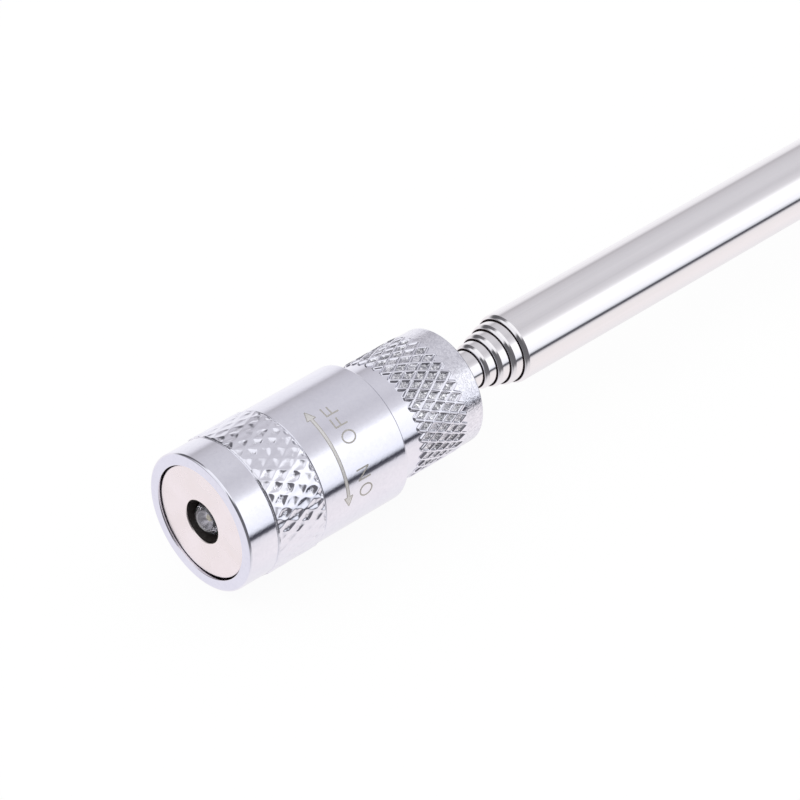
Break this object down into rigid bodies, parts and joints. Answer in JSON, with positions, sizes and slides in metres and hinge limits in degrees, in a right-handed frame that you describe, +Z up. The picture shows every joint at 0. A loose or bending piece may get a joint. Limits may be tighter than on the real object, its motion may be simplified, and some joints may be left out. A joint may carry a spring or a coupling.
{
  "type": "telescopic magnetic pickup tool",
  "caption": "Telescopic pickup tool with a ring magnet round a small lamp, a knurled twist-switch head, nested steel tubes and a pocket clip.",
  "frame": {"origin": "centre of the head's front rim, on the tool's axis, just in front of the magnet's face", "axes": "+X along the tool from the head's rim to the tail, +Z up, with the pocket clip pointing down (-Z) as the closed tool lies on a table"},
  "size_m": [0.1703, 0.014, 0.014],
  "materials": {
    "plating": "satin bright nickel plating over turned and knurled metal, with fine turning lines",
    "magnet_nickel": "nickel-plated sintered magnet, warm satin face with faint handling marks",
    "black_plastic": "black moulded plastic",
    "clear_lens": "water-clear epoxy lamp lens",
    "tinned_steel": "tinned lead frame",
    "board_green": "green fibreglass board",
    "brass": "plain brass and springy bronze",
    "sleeve_white": "thin white insulating plastic",
    "cell_steel": "bright nickel-plated cell can",
    "spring_steel": "bright spring wire",
    "tube_steel": "polished stainless tube with fine lengthwise drawing lines",
    "clip_steel": "stamped bright stainless strip"
  },
  "bodies": {
    "main_tube": {"main_tube": "tube_steel", "tail_cap": "plating", "pocket_clip": "clip_steel"},
    "grip_4": {"friction_spring_4": "brass"},
    "section_4": {"section_4": "tube_steel"},
    "grip_3": {"friction_spring_3": "brass"},
    "section_3": {"section_3": "tube_steel"},
    "grip_2": {"friction_spring_2": "brass"},
    "section_2": {"section_2": "tube_steel"},
    "grip_1": {"friction_spring_1": "brass"},
    "section_1": {"section_1": "tube_steel", "rod_stud": "brass", "rear_cap": "plating", "contact_spring": "spring_steel"},
    "battery_stack": {"battery_sleeve": "sleeve_white", "button_cell_1": "cell_steel", "button_cell_2": "cell_steel", "button_cell_3": "cell_steel"},
    "head": {"head_barrel": "plating", "ring_magnet": "magnet_nickel", "led_holder": "black_plastic", "led_lens": "clear_lens", "led_leads": "tinned_steel", "contact_board": "board_green", "contact_rivet": "brass"}
  },
  "joints": [
    {"name": "section_4_slide", "type": "slide", "parent": "main_tube", "child": "grip_4", "axis": [-1, 0, 0], "range_m": [0, 0.1128]},
    {"name": "section_4_swivel", "type": "hinge", "parent": "grip_4", "child": "section_4", "pos_m": [0.1, 0, 0], "axis": [1, 0, 0], "continuous": true},
    {"name": "section_3_slide", "type": "slide", "parent": "section_4", "child": "grip_3", "axis": [-1, 0, 0], "range_m": [0, 0.1142]},
    {"name": "section_3_swivel", "type": "hinge", "parent": "grip_3", "child": "section_3", "pos_m": [0.1, 0, 0], "axis": [1, 0, 0], "continuous": true},
    {"name": "section_2_slide", "type": "slide", "parent": "section_3", "child": "grip_2", "axis": [-1, 0, 0], "range_m": [0, 0.1155]},
    {"name": "section_2_swivel", "type": "hinge", "parent": "grip_2", "child": "section_2", "pos_m": [0.1, 0, 0], "axis": [1, 0, 0], "continuous": true},
    {"name": "section_1_slide", "type": "slide", "parent": "section_2", "child": "grip_1", "axis": [-1, 0, 0], "range_m": [0, 0.1169]},
    {"name": "section_1_swivel", "type": "hinge", "parent": "grip_1", "child": "section_1", "pos_m": [0.1, 0, 0], "axis": [1, 0, 0], "continuous": true},
    {"name": "thread_advance", "type": "slide", "parent": "section_1", "child": "battery_stack", "axis": [1, 0, 0], "range_m": [0, 0.000125], "deforming": ["contact_spring"]},
    {"name": "switch_twist", "type": "hinge", "parent": "battery_stack", "child": "head", "pos_m": [0.01, 0, 0], "axis": [1, 0, 0], "range_deg": [0, 90]}
  ],
  "couplings": [
    {"joint": "switch_twist", "follows": "thread_advance", "rad_per_m": 12566}
  ]
}
